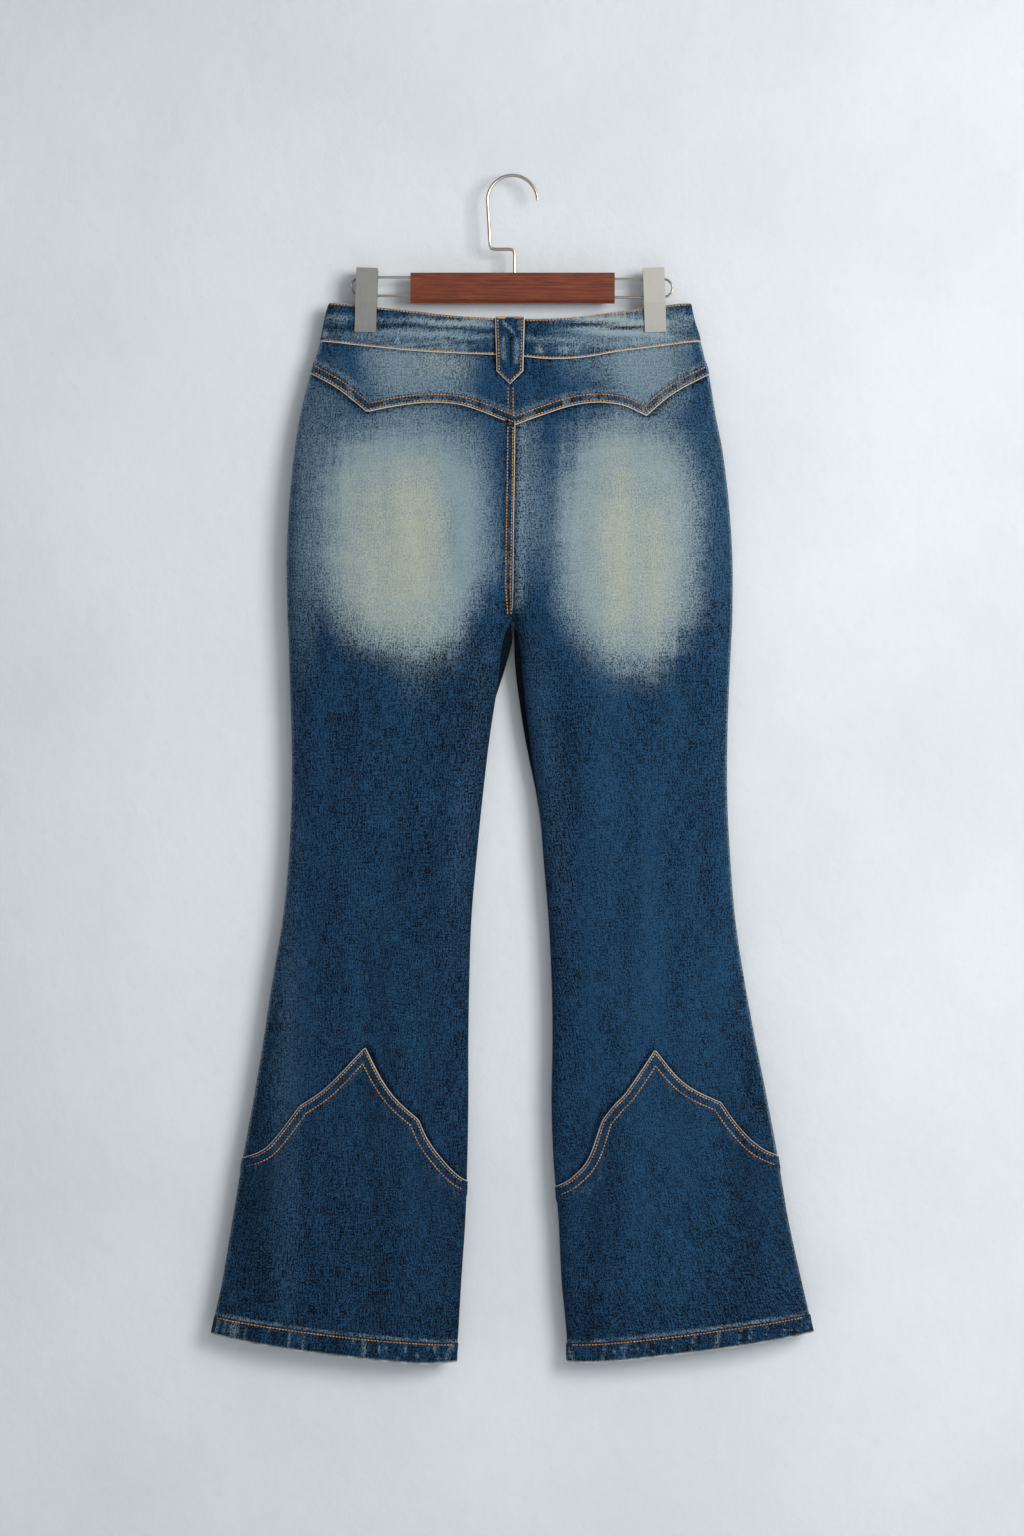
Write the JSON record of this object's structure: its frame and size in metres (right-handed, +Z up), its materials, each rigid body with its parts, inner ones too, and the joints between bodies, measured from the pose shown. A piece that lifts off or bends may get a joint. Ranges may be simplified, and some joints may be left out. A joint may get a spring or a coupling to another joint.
{
  "type": "flared jeans on a clip hanger",
  "caption": "Flared jeans hanging flat from a wooden-bar clip hanger, with a shaped back yoke, a pointed belt loop, peaked calf seams and turned-up hems.",
  "frame": {"origin": "inner top of the hanger's hook, where it rests on a rail", "axes": "+Z up; -Y out of the back of the jeans, the side with the yoke and the belt loop; +Y out of the front; -X towards the wearer's left leg, which is on the left when the back is seen"},
  "size_m": [0.6039, 0.0432, 1.1882],
  "materials": {
    "denim": "faded indigo twill with tan topstitching and cream-grey worn patches",
    "wood": "satin red-brown stain",
    "wire": "satin nickel wire",
    "clip_metal": "satin nickel sheet",
    "button_metal": "aged"
  },
  "bodies": {
    "root": {"waistband_left": "denim", "yoke_left": "denim", "back_left": "denim", "flare_back_left": "denim", "front_left": "denim", "hem_left": "denim", "waistband_right": "denim", "yoke_right": "denim", "back_right": "denim", "flare_back_right": "denim", "front_right": "denim", "hem_right": "denim", "belt_loop": "denim", "fly": "denim", "button": "button_metal", "hanger_bar": "wood", "hook": "wire", "rail_wire_left": "wire", "clip_saddle_left": "clip_metal", "clip_jaw_back_left": "clip_metal", "clip_jaw_front_left": "clip_metal", "rail_wire_right": "wire", "clip_saddle_right": "clip_metal", "clip_jaw_back_right": "clip_metal", "clip_jaw_front_right": "clip_metal"}
  },
  "joints": []
}
